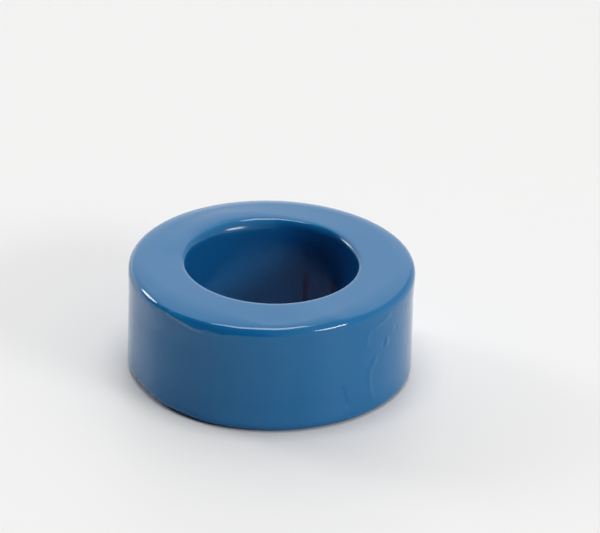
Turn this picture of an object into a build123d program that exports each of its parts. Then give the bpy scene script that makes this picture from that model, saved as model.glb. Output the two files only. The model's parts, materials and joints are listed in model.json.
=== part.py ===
from build123d import *

import os

# Nanocrystalline toroidal core: a ring wound from thin soft-magnetic ribbon, sealed in epoxy.
# Lengths are in millimetres. The ring lies on its lower face, with +Z up its axis and the origin
# at the middle of that face.

# The ribbon core. Its ribbon is as wide as the ring is high, and its turns lie tight on each other.
core_outer_diameter = 50.0
core_inner_diameter = 32.0
core_height = 20.0
core_edge_radius = 1.2  # slit edges ground round, so that the coating doesn't thin out over them

# The epoxy coating, melted on from powder. It draws back a little as it sets round each edge.
coating_on_rim = 0.6
coating_in_bore = 0.5
coating_on_faces = 0.4
rim_top_radius = 1.8  # the melt gathered along the two upper edges
bore_top_radius = 1.9
rim_bottom_radius = 1.2
bore_bottom_radius = 0.9

core_outer_radius = core_outer_diameter / 2
core_inner_radius = core_inner_diameter / 2
core_base = coating_on_faces
core_top = core_base + core_height

coated_outer_radius = core_outer_radius + coating_on_rim
coated_inner_radius = core_inner_radius - coating_in_bore
coated_top = core_top + coating_on_faces


# The wound ribbon, all its turns as one ring.
with BuildPart() as ribbon_core:
    with BuildSketch(Plane.XZ) as core_section:
        with Locations((core_inner_radius, core_base)):
            Rectangle(core_outer_radius - core_inner_radius, core_height, align=(Align.MIN, Align.MIN))
        fillet(core_section.vertices(), core_edge_radius)
    revolve(axis=Axis.Z)

# The coating, a closed skin all round the ribbon that leaves the bore open.
with BuildPart() as epoxy_coating:
    with BuildSketch(Plane.XZ) as coated_section:
        with Locations((coated_inner_radius, 0)):
            Rectangle(coated_outer_radius - coated_inner_radius, coated_top, align=(Align.MIN, Align.MIN))
        # Each rounding remakes the outline, so its corner is looked up afresh: across is the sketch's X, up its Y.
        for across, up, radius in (
            (-1, -1, rim_top_radius),
            (-1, 0, rim_bottom_radius),
            (0, -1, bore_top_radius),
            (0, 0, bore_bottom_radius),
        ):
            corner = coated_section.vertices().group_by(Axis.X)[across].sort_by(Axis.Y)[up]
            fillet(corner, radius)
    revolve(axis=Axis.Z)
    add(ribbon_core.part, mode=Mode.SUBTRACT)

ribbon_core.part.label = "ribbon_core"
epoxy_coating.part.label = "epoxy_coating"

os.makedirs("parts", exist_ok=True)
export_step(ribbon_core.part, "parts/ribbon_core.step")
export_step(epoxy_coating.part, "parts/epoxy_coating.step")
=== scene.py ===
import json
import math

import bpy
import numpy as np
from mathutils import Matrix, Vector, noise


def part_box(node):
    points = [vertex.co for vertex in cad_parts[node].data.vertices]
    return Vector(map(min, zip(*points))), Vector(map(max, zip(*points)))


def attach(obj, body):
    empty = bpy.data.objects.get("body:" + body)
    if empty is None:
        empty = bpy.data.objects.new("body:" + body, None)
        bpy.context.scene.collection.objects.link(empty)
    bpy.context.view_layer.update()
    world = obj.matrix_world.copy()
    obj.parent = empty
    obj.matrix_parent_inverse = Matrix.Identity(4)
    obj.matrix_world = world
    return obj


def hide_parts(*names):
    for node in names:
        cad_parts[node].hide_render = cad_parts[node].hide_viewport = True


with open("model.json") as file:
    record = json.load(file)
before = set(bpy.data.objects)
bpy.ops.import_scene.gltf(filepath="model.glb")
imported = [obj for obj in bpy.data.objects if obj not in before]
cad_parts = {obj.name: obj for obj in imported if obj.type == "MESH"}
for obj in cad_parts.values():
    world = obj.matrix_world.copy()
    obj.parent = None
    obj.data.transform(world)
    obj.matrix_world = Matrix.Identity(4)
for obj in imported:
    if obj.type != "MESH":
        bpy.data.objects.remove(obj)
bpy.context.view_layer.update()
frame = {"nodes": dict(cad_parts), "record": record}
mm = 0.001  # one millimetre in the scene's metres

mountSizes = {mount["name"]: mount["dims"] for mount in frame["record"]["mounts"]}
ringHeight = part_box("epoxy_coating")[1].z / mm
rimRadius = mountSizes["rim"]["r_mm"]
boreRadius = mountSizes["bore"]["r_mm"]


camera = {
    "elevation": 27.3,  # degrees above the floor
    "roll": 1.58,  # degrees, the camera's right side lifted
    "distance": 60.0,  # in rim radii, so far away that there is almost no perspective
    "frameWidth": 4.228,  # at the ring, in rim radii
    "right": 0.217,  # from the middle of the ring's lower face to the middle of the frame, in rim radii
    "up": 0.687,
    "sensor": 36.0,  # mm
    "sees": (0.1, 50.0),  # m, nearest and farthest
}


def addCamera():
    tilt, roll = math.radians(camera["elevation"]), math.radians(camera["roll"])
    away = Vector((0, -math.cos(tilt), math.sin(tilt)))
    level, upright = Vector((1, 0, 0)), Vector((0, math.sin(tilt), math.cos(tilt)))
    right = level * math.cos(roll) + upright * math.sin(roll)
    up = upright * math.cos(roll) - level * math.sin(roll)
    data = bpy.data.cameras.new("camera")
    data.sensor_width = camera["sensor"]
    data.lens = camera["sensor"] * camera["distance"] / camera["frameWidth"]
    data.clip_start, data.clip_end = camera["sees"]
    eye = bpy.data.objects.new("camera", data)
    bpy.context.scene.collection.objects.link(eye)
    place = away * camera["distance"] + right * camera["right"] + up * camera["up"]
    turn = Matrix((right, up, away)).transposed().to_4x4()
    eye.matrix_world = Matrix.Translation(place * rimRadius * mm) @ turn
    bpy.context.scene.camera = eye
    print("camera placed, lens", round(data.lens), "mm")


addCamera()


def addNode(tree, kind, settings, inputs):  # gives the new node's first output
    made = tree.nodes.new(kind)
    for setting, value in settings.items():
        setattr(made, setting, value)
    for socket, value in inputs.items():
        if isinstance(value, Wire):
            tree.links.new(value.socket, made.inputs[socket])
        else:
            made.inputs[socket].default_value = value
    return Wire(tree, made.outputs[0]) if made.outputs else None


def addMaths(tree, operation, *values):
    return addNode(tree, "ShaderNodeMath", {"operation": operation}, dict(enumerate(values)))


class Wire:  # an output socket that can stand in a sum
    def __init__(self, tree, socket):
        self.tree, self.socket = tree, socket

    def out(self, name):  # another output of the same node
        return Wire(self.tree, self.socket.node.outputs[name])

    def maths(self, operation, *others):
        return addMaths(self.tree, operation, self, *others)

    def __add__(self, other):
        return self.maths("ADD", other)

    __radd__ = __add__

    def __sub__(self, other):
        return self.maths("SUBTRACT", other)

    def __rsub__(self, other):
        return addMaths(self.tree, "SUBTRACT", other, self)

    def __mul__(self, other):
        return self.maths("MULTIPLY", other)

    __rmul__ = __mul__

    def rise(self, low, high):  # 0 below low, 1 above high, smooth between
        span = {"Value": self, "From Min": low, "From Max": high}
        return addNode(self.tree, "ShaderNodeMapRange", {"interpolation_type": "SMOOTHSTEP"}, span)


class Shader:  # a material and the nodes added to it
    def __init__(self, name):
        self.material = bpy.data.materials.new(name)
        self.material.use_nodes = True
        self.tree = self.material.node_tree
        self.tree.nodes.clear()

    def node(self, kind, settings, inputs):
        return addNode(self.tree, kind, settings, inputs)

    def place(self, scale):  # the object's own place, so many texture units to the metre
        spot = self.node("ShaderNodeTexCoord", {}, {}).out("Object")
        return self.node("ShaderNodeVectorMath", {"operation": "SCALE"}, {0: spot, "Scale": scale})

    def millimetres(self):  # the object's own X, Y and Z
        split = self.node("ShaderNodeSeparateXYZ", {}, {"Vector": self.place(1 / mm)})
        return split.out("X"), split.out("Y"), split.out("Z")

    def cloud(self, size, detail, rough, seed=0.0):  # noise with lumps of about size mm
        place = self.place(1 / (size * mm))
        inputs = {"Vector": place, "W": seed, "Scale": 1.0, "Detail": detail, "Roughness": rough}
        return self.node("ShaderNodeTexNoise", {"noise_dimensions": "4D"}, inputs)

    def blend(self, factor, first, second):  # two colours
        mixed = self.node("ShaderNodeMix", {"data_type": "RGBA"}, {0: factor, 6: first, 7: second})
        return Wire(self.tree, mixed.socket.node.outputs[2])

    def bump(self, height, depth):  # height 0 to 1 stands for depth mm
        return self.node("ShaderNodeBump", {}, {"Height": height, "Distance": depth * mm, "Strength": 1.0})

    def finish(self, **sockets):
        named = {name.replace("_", " "): value for name, value in sockets.items()}
        surface = self.node("ShaderNodeBsdfPrincipled", {}, named)
        self.node("ShaderNodeOutputMaterial", {}, {"Surface": surface})
        return self.material


epoxyFinish = {
    "blue": (0.0095, 0.118, 0.287, 1),
    "paler": (0.0115, 0.127, 0.305, 1),  # where pigment has gathered a little
    "patch": 7.0,  # mm, size of the colour's patches
    "roughness": 0.05,
    "haze": 0.03,  # more roughness in the dullest patches
    "hazePatch": 5.0,  # mm
    "peel": 1.1,  # mm, size of the orange peel
    "peelDepth": 0.0016,  # mm
    "gloss": 1.47,  # index of refraction
    # In the bore the blue is darkened as painted shade, and the coat is duller. The painted shade is
    # deepest towards +X and +Y.
    "boreBlue": (0.010, 0.106, 0.255, 1),
    "boreThin": (0.007, 0.076, 0.190, 1),
    "boreEdge": (0.3, 1.2),  # mm outside the bore's wall, where this blue ends
    "thinAlongX": (0, 8),  # mm, from where to where the painted shade deepens
    "thinAlongY": (5, 11),
    "boreDullness": 0.12,  # added to the roughness where little powder reached
    # dark streaks in the bore, painted reflections of things round the ring
    "stain": (0.013, 0.010, 0.075, 1),
    "stains": [(66.5, 3.2), (44, 3.4)],  # where they lie round the bore and half their width, in degrees
    "stainCore": 0.3,  # share of the width that is full, before it fades to the sides
    "stainTop": (9, 13),  # mm, the heights over which they fade out
    "stainStrength": 0.85,
}


def makeEpoxy():
    shader = Shader("blueEpoxy")
    patches = shader.cloud(epoxyFinish["patch"], detail=3.0, rough=0.6)
    colour = shader.blend(patches, epoxyFinish["blue"], epoxyFinish["paler"])
    haze = shader.cloud(epoxyFinish["hazePatch"], detail=4.0, rough=0.65, seed=3.0)
    roughness = epoxyFinish["roughness"] + haze.rise(0.3, 0.7) * epoxyFinish["haze"]
    x, y, z = shader.millimetres()
    # painted shade in the bore: the blue darkens, more towards +X and +Y
    deeperShade = x.rise(*epoxyFinish["thinAlongX"]) * y.rise(*epoxyFinish["thinAlongY"])
    bore = shader.blend(deeperShade, epoxyFinish["boreBlue"], epoxyFinish["boreThin"])
    angle = y.maths("ARCTAN2", x) * math.degrees(1)
    low = 1.0 - z.rise(*epoxyFinish["stainTop"])
    # painted reflections: dark streaks down the bore's wall that fade out higher up
    for middle, width in epoxyFinish["stains"]:
        aside = (angle - middle).maths("ABSOLUTE")
        stain = (1.0 - aside.rise(width * epoxyFinish["stainCore"], width)) * low
        bore = shader.blend(stain * epoxyFinish["stainStrength"], bore, epoxyFinish["stain"])
    fromAxis = (x * x + y * y).maths("SQRT")
    inBore = 1.0 - fromAxis.rise(*[boreRadius + edge for edge in epoxyFinish["boreEdge"]])
    # the bore's wall gets its painted shade and painted reflections
    colour = shader.blend(inBore, colour, bore)
    roughness = roughness + inBore * epoxyFinish["boreDullness"]
    grain = shader.cloud(epoxyFinish["peel"], detail=1.0, rough=0.4, seed=7.0)
    peel = shader.bump(grain, epoxyFinish["peelDepth"])
    return shader.finish(Base_Color=colour, Roughness=roughness, IOR=epoxyFinish["gloss"], Normal=peel)


# What varies is a list of (angle, value) that eases from one to the next. Angles run anticlockwise
# from +X, seen from above, and lengths are in mm.
coat = {
    "around": 540,  # points round the ring
    "steps": {  # points along each stretch of the section
        "boreTop": 9, "ledge": 4, "upperFace": 24, "shoulder": 10, "nose": 10, "cheek": 9, "rim": 70,
        "rimBottom": 8, "lowerFace": 4, "boreBottom": 6, "bore": 22,
    },
    "boreBottom": 0.9,  # rounding of the bore's lower edge
    "varies": {
        # Round the bore the upper face rises into a low crown, falls over a ledge and turns down.
        "crown": [
            (-90, 0.0), (20, 0.0), (60, 0.22), (90, 0.33), (104, 0.50), (118, 0.66), (150, 0.3), (180, 0.0),
        ],
        "ledge": [
            (-90, 0.7), (0, 0.5), (66, 0.8), (90, 1.6), (104, 2.4), (118, 3.0), (140, 2.0), (180, 0.6),
        ],
        "ledgeTilt": [(-90, 13), (60, 10), (90, 8), (118, 8), (160, 10), (180, 13)],  # degrees
        "boreTop": [
            (-150, 0.7), (-90, 0.95), (-30, 0.7), (20, 0.9), (60, 1.4), (78, 1.3), (90, 1.7), (104, 2.2),
            (118, 2.6), (140, 1.8), (170, 1.0),
        ],
        # how far the bore's mouth draws back
        "mouth": [(-90, 0.0), (20, 0.0), (60, 0.42), (84, 0.42), (104, 0.2), (118, 0.0), (170, 0.0)],
        # Along the rim the upper face falls away over the shoulder, turns down over the nose and runs
        # out over the cheek.
        "shoulder": [
            (-150, 3.0), (-135, 4.4), (-120, 4.3), (-105, 2.6), (-90, 0.7), (-78, 1.0), (-65, 1.6),
            (-51, 3.4), (-36, 3.8), (0, 2.4), (60, 1.8), (180, 2.2),
        ],
        "shoulderTilt": [
            (-150, 12), (-130, 13), (-90, 12), (-65, 12), (-45, 12), (0, 11), (90, 12),
        ],  # degrees
        "nose": [
            (-150, 1.5), (-135, 0.8), (-120, 0.8), (-105, 1.9), (-90, 1.95), (-78, 1.7), (-65, 2.1),
            (-56, 1.65), (-43, 1.1), (-36, 1.2), (0, 1.3), (90, 1.4),
        ],
        "noseTilt": [(-150, 78), (-120, 72), (-90, 72), (-65, 78), (-36, 72), (60, 76)],  # degrees
        "cheek": [(-150, 0.7), (-120, 1.2), (-90, 0.4), (-65, 0.3), (-36, 0.8), (60, 0.5)],
        # how far that edge stands out, and how far it sags
        "lip": [
            (-165, 0.15), (-135, 0.45), (-105, 0.45), (-90, 0.3), (-75, 0.0), (-35, 0.0), (-8, 0.2),
            (18, 0.2), (60, 0.0),
        ],
        "sag": [
            (-160, 0.05), (-120, 0.14), (-100, 0.20), (-88, 0.30), (-74, 0.08), (-62, -0.08), (-48, 0.0),
            (90, 0.0),
        ],
        "rimBottom": [
            (180, 1.4), (-155, 2.2), (-135, 1.8), (-110, 1.5), (-90, 1.3), (-40, 1.2), (90, 1.2),
        ],
        # how far the wall stands out at its foot
        "foot": [(-155, 0.0), (-135, 0.4), (-110, 0.7), (-90, 0.55), (-60, 0.2), (-40, 0.0), (90, 0.0)],
    },
    # Each of these grows from nothing to full between two heights, measured from the upper face.
    "crownHeights": (-6, -1),
    "mouthHeights": (-3.5, -0.5),
    "lipHeights": (-7, -1),
    "footTop": 5,  # height at which the foot has died out
    "crownReach": 9,  # how far out from the bore's wall the crown and the mouth die out
    "mouthReach": 2.5,
    "rimReach": 1.5,  # how far in from the rim the lip, the sag and the foot are still full
    "waviness": [(11.0, 0.020), (4.0, 0.005)],  # size and height of the unevenness all over
    "levelFoot": 2.0,  # height below which all unevenness dies out, because the lower face is flat
    "markReach": 3,  # how far in from the rim a mark may lie
    "markFade": 4,  # how sharply a mark dies out where the wall turns into a face
    # Runs and dents that the coat kept when it set, on paths of (angle, height). The first three are
    # one long bead, low at its ends.
    "marks": [
        {"path": [(-138.5, 19.9), (-135, 19.75)], "width": 0.5, "lift": 0.1},
        {"path": [(-133.2, 19.65), (-129, 19.45), (-121, 18.75), (-118, 18.7)], "width": 0.5, "lift": 0.28},
        {"path": [(-116.8, 18.75), (-114.5, 18.8), (-108, 18.4)], "width": 0.5, "lift": 0.1},
        {"path": [(-34.5, 18.2), (-39.7, 17.5), (-46.1, 16.9), (-47.7, 14.6)], "width": 0.4, "lift": 0.12},
        {"path": [(-42, 11.1), (-45.5, 8.8), (-45.2, 5.6), (-43.7, 3.3)], "width": 0.4, "lift": 0.12},
        {"path": [(-35.2, 13.5), (-35.6, 12.9)], "width": 0.4, "lift": 0.15},
        {"path": [(-37.2, 13.2), (-37.4, 12.7)], "width": 0.4, "lift": -0.13},
        {"path": [(-58.8, 6.9), (-58.0, 5.4), (-56.7, 3.4)], "width": 0.4, "lift": -0.16},
        {"path": [(-28.6, 14.7), (-28.6, 14.5)], "width": 0.35, "lift": -0.10},
    ],
}


def rise(value, low=0, high=1):  # 0 below low, 1 above high, smooth between
    share = np.clip((value - low) / (high - low), 0, 1)
    return share * share * (3 - 2 * share)


def roundTheRing(stations, angles):
    places = sorted(stations)
    start = np.array([angle for angle, value in places])
    value = np.array([value for angle, value in places])
    turned = (angles - start[0]) % 360
    after = np.append(start - start[0], 360)
    step = np.searchsorted(after, turned, "right") - 1
    share = (turned - after[step]) / (after[step + 1] - after[step])
    return value[step] + (value[(step + 1) % len(value)] - value[step]) * rise(share)


class Section:  # the ring's half section at every angle: distance out, height, and tilt of the surface
    def __init__(self, out, up, tilt):
        self.out, self.up, self.tilt = [out], [up], [tilt]

    def arc(self, radius, toTilt, steps):
        out, up, tilt = self.out[-1], self.up[-1], self.tilt[-1]
        for share in np.linspace(0, 1, steps + 1)[1:]:
            turned = tilt + (toTilt - tilt) * share
            self.out.append(out + radius * (np.sin(turned) - np.sin(tilt)))
            self.up.append(up + radius * (np.cos(turned) - np.cos(tilt)))
            self.tilt.append(turned)

    def straight(self, toOut, toUp, steps):
        out, up, tilt = self.out[-1], self.up[-1], self.tilt[-1]
        for share in np.linspace(0, 1, steps + 1)[1:]:
            self.out.append(out + (toOut - out) * share)
            self.up.append(up + (toUp - up) * share)
            self.tilt.append(tilt)

    def table(self):  # without the last point, which is the first again
        return [np.array(column[:-1]) for column in (self.out, self.up, self.tilt)]


def coatSection(along):  # goes up over the bore's top, out, down the rim, back in and up the bore
    steps, quarter = coat["steps"], math.pi / 2
    flat = np.zeros_like(along["nose"])
    slope, steep = np.radians(along["shoulderTilt"]), np.radians(along["noseTilt"])
    cheekRadius = along["cheek"] / np.cos(steep)
    inset = along["shoulder"] + along["nose"] * (np.sin(steep) - np.sin(slope))
    inset = inset + cheekRadius * (1 - np.sin(steep))
    ledgeSlope = np.radians(along["ledgeTilt"])
    ledgeRadius = along["ledge"] / np.sin(ledgeSlope)
    wallTop = ringHeight - along["boreTop"] * np.cos(ledgeSlope) - ledgeRadius * (1 - np.cos(ledgeSlope))
    section = Section(boreRadius + flat, wallTop, flat - quarter)
    section.arc(along["boreTop"], flat - ledgeSlope, steps["boreTop"])
    section.arc(ledgeRadius, flat, steps["ledge"])
    section.straight(rimRadius - inset, ringHeight + flat, steps["upperFace"])
    section.arc(along["shoulder"] / np.sin(slope), slope, steps["shoulder"])
    section.arc(along["nose"], steep, steps["nose"])
    section.arc(cheekRadius, flat + quarter, steps["cheek"])
    section.straight(rimRadius + flat, along["rimBottom"], steps["rim"])
    section.arc(along["rimBottom"], flat + 2 * quarter, steps["rimBottom"])
    section.straight(boreRadius + coat["boreBottom"] + flat, flat, steps["lowerFace"])
    section.arc(coat["boreBottom"], flat + 3 * quarter, steps["boreBottom"])
    section.straight(boreRadius + flat, wallTop, steps["bore"])
    return section.table()


def settle(out, up, along):  # the coat gathers, draws back and sags as it sets
    byCrown = 1 - rise(out, boreRadius, boreRadius + coat["crownReach"])
    byMouth = 1 - rise(out, boreRadius, boreRadius + coat["mouthReach"])
    byRim = rise(out, boreRadius, rimRadius - coat["rimReach"])

    def above(heights):
        return rise(up, ringHeight + heights[0], ringHeight + heights[1])

    out = out + along["mouth"] * byMouth * above(coat["mouthHeights"])
    out = out + along["foot"] * byRim * (1 - rise(up, 0, coat["footTop"]))
    up = up + along["crown"] * byCrown * above(coat["crownHeights"])
    byLip = byRim * above(coat["lipHeights"])
    return out + along["lip"] * byLip, up - along["sag"] * byLip


def waves(points):  # gentle unevenness
    lift = np.zeros(points.shape[:2])
    for size, height in coat["waviness"]:
        for row, column in np.ndindex(lift.shape):
            lift[row, column] += height * noise.noise(Vector(points[row, column] / size))
    return lift


def marksOn(out, up, tilt, angles):  # how far each point of the rim is lifted, x along it and z up
    lift = np.zeros_like(out)
    for mark in coat["marks"]:
        path = [(math.radians(angle) * rimRadius, height) for angle, height in mark["path"]]
        nearest = np.full_like(out, np.inf)
        for (x, z), (nextX, nextZ) in zip(path, path[1:]):
            spanX, spanZ = nextX - x, nextZ - z
            acrossX, acrossZ = angles * rimRadius - x, up - z
            share = np.clip((acrossX * spanX + acrossZ * spanZ) / (spanX ** 2 + spanZ ** 2), 0, 1)
            nearest = np.minimum(nearest, np.hypot(acrossX - share * spanX, acrossZ - share * spanZ))
        lift += mark["lift"] * np.exp(-((nearest / mark["width"]) ** 2))
    return lift * (out > rimRadius - coat["markReach"]) * np.sin(tilt) ** coat["markFade"]


def ringPoints(out, up, angles):
    return np.stack([out * np.cos(angles), out * np.sin(angles), up], axis=-1)


def ringFaces(rows, columns):
    row, column = np.meshgrid(np.arange(rows), np.arange(columns), indexing="ij")
    nextRow, nextColumn = (row + 1) % rows, (column + 1) % columns
    corners = [row * columns + column, nextRow * columns + column]
    corners += [nextRow * columns + nextColumn, row * columns + nextColumn]
    return np.stack(corners, axis=-1).reshape(-1, 4)


def makeMesh(name, points, faces, material):
    data = bpy.data.meshes.new(name)
    data.from_pydata((points * mm).tolist(), [], faces.tolist())
    data.shade_smooth()
    data.materials.append(material)
    piece = bpy.data.objects.new(name, data)
    bpy.context.scene.collection.objects.link(piece)
    return piece


def makeCoat():
    angles = np.linspace(-math.pi, math.pi, coat["around"], endpoint=False)
    varies = coat["varies"].items()
    along = {name: roundTheRing(stations, np.degrees(angles)) for name, stations in varies}
    out, up, tilt = coatSection(along)
    out, up = settle(out, up, along)
    lift = waves(ringPoints(out, up, angles)) + marksOn(out, up, tilt, angles)
    lift = lift * rise(up, 0, coat["levelFoot"])
    points = ringPoints(out + lift * np.sin(tilt), up + lift * np.cos(tilt), angles)
    faces = ringFaces(*out.shape)
    piece = makeMesh("coat", points.reshape(-1, 3), faces, makeEpoxy())
    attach(piece, "root")
    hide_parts("epoxy_coating")
    print("coat made,", 2 * len(faces), "triangles")


makeCoat()


ribbonFinish = {
    "grey": (0.36, 0.35, 0.34, 1),
    "dark": (0.22, 0.215, 0.21, 1),
    "turn": 0.16,  # mm, spacing of the turns that catch the light
    "ridge": 0.01,  # mm, how far they stand up
    "streak": 3.0,  # mm, size of the patches where more of them do
    "roughness": 0.34,
    "dullness": 0.15,  # added to the roughness in those patches
}


def makeRibbon():
    shader = Shader("woundRibbon")
    x, y = shader.millimetres()[:2]
    radius = (x * x + y * y).maths("SQRT")
    turns = (radius * (2 * math.pi / ribbonFinish["turn"])).maths("SINE") * 0.5 + 0.5
    streaks = shader.cloud(ribbonFinish["streak"], detail=4.0, rough=0.6)
    colour = shader.blend(turns * streaks, ribbonFinish["dark"], ribbonFinish["grey"])
    roughness = ribbonFinish["roughness"] + streaks * ribbonFinish["dullness"]
    ridges = shader.bump(turns, ribbonFinish["ridge"])
    return shader.finish(Base_Color=colour, Metallic=1.0, Roughness=roughness, Normal=ridges)


ribbon = makeRibbon()
for slot in frame["nodes"]["ribbon_core"].material_slots:
    slot.material = ribbon
print("ribbon finished")


# Azimuth anticlockwise from +X and elevation above the floor, in degrees. Brightness 1 is a sheet of
# white paper in full light.
room = {
    "floor": (0.738, 0.735, 0.732, 1),
    "floorRoughness": 0.5,
    "floorSize": 8.0,  # m
    "dim": 0.01,  # brightness where nothing else lights the room
    "right": 0.60,  # brightness towards +X, which comes up over these X parts of a unit direction
    "rightFrom": (-0.3, 0.5),
    "left": 0.06,  # the same towards -X
    "leftFrom": (0.6, 0.95),
    "horizon": 0.35,  # how much brighter low down, which ends over these Z parts
    "horizonEnds": (0.05, 0.35),
    # Two pale areas. They are full to so many degrees from their middle, and end at so many.
    "paleAreas": {
        "backdrop": {"azimuth": 110, "elevation": 18, "brightness": 1.15, "full": 32, "end": 48},
        "ceiling": {"azimuth": 88, "elevation": 56, "brightness": 1.2, "full": 20, "end": 34},
    },
    # Width and height are half angles seen from the ring, in degrees.
    "softboxes": {
        "mainLamp": {"azimuth": -36.5, "elevation": 26, "width": 12, "height": 5.2, "brightness": 17},
        "topBox": {"azimuth": 90, "elevation": 88, "width": 19, "height": 11, "brightness": 6.4},
        "leftBox": {"azimuth": 150, "elevation": 26, "width": 8, "height": 8, "brightness": 11.5},
    },
    "softboxDistance": 1.6,  # m from the ring
    "contrast": [(0.02, 0.012), (0.05, 0.041), (0.12, 0.12), (0.35, 0.37)],  # light, and light shown
}


def towards(azimuth, elevation):
    turn, lift = math.radians(azimuth), math.radians(elevation)
    return Vector((math.cos(turn) * math.cos(lift), math.sin(turn) * math.cos(lift), math.sin(lift)))


def addSoftbox(name, box):
    away = towards(box["azimuth"], box["elevation"])
    side = Vector((0, 0, 1)).cross(away).normalized()
    data = bpy.data.lights.new(name, "AREA")
    data.shape = "ELLIPSE"
    data.size = 2 * room["softboxDistance"] * math.tan(math.radians(box["width"]))
    data.size_y = 2 * room["softboxDistance"] * math.tan(math.radians(box["height"]))
    area = math.pi * data.size * data.size_y / 4
    data.energy = box["brightness"] * math.pi * area  # watts
    lamp = bpy.data.objects.new(name, data)
    bpy.context.scene.collection.objects.link(lamp)
    turn = Matrix((side, away.cross(side), away)).transposed().to_4x4()
    lamp.matrix_world = Matrix.Translation(away * room["softboxDistance"]) @ turn
    lamp.visible_camera = False


def addFloor():
    half = room["floorSize"] / 2
    corners = [(-half, -half, 0), (half, -half, 0), (half, half, 0), (-half, half, 0)]
    data = bpy.data.meshes.new("floor")
    data.from_pydata(corners, [], [(0, 1, 2, 3)])
    pale = Shader("paleFloor").finish(Base_Color=room["floor"], Roughness=room["floorRoughness"])
    data.materials.append(pale)
    floor = bpy.data.objects.new("floor", data)
    bpy.context.scene.collection.objects.link(floor)


def addWorld():  # what the coat reflects: a dim room with pale areas
    world = bpy.data.worlds.new("room")
    world.use_nodes = True
    tree = world.node_tree
    tree.nodes.clear()
    look = addNode(tree, "ShaderNodeTexCoord", {}, {}).out("Generated")
    split = addNode(tree, "ShaderNodeSeparateXYZ", {}, {"Vector": look})
    sideways, upwards = split.out("X"), split.out("Z")
    glow = room["dim"] + (room["right"] - room["dim"]) * sideways.rise(*room["rightFrom"])
    glow = glow + (room["left"] - room["dim"]) * (-1.0 * sideways).rise(*room["leftFrom"])
    for area in room["paleAreas"].values():
        ends = {0: look, 1: towards(area["azimuth"], area["elevation"])}
        facing = addNode(tree, "ShaderNodeVectorMath", {"operation": "DOT_PRODUCT"}, ends).out("Value")
        edge, full = math.cos(math.radians(area["end"])), math.cos(math.radians(area["full"]))
        share = facing.rise(edge, full)
        glow = glow * (1.0 - share) + share * area["brightness"]
    glow = glow * ((1.0 - upwards.rise(*room["horizonEnds"])) * room["horizon"] + 1.0)
    light = addNode(tree, "ShaderNodeBackground", {}, {"Color": (1, 1, 1, 1), "Strength": glow})
    addNode(tree, "ShaderNodeOutputWorld", {}, {"Surface": light})
    bpy.context.scene.world = world


def setContrast():  # deepens the shadows
    view = bpy.context.scene.view_settings
    view.view_transform = "Standard"
    view.use_curve_mapping = True
    brightnessCurve = view.curve_mapping.curves[3]
    for light, shown in room["contrast"]:
        brightnessCurve.points.new(light, shown)
    view.curve_mapping.update()


addFloor()
addWorld()
setContrast()
for name, box in room["softboxes"].items():
    addSoftbox(name, box)
print("room and", len(room["softboxes"]), "lights added")
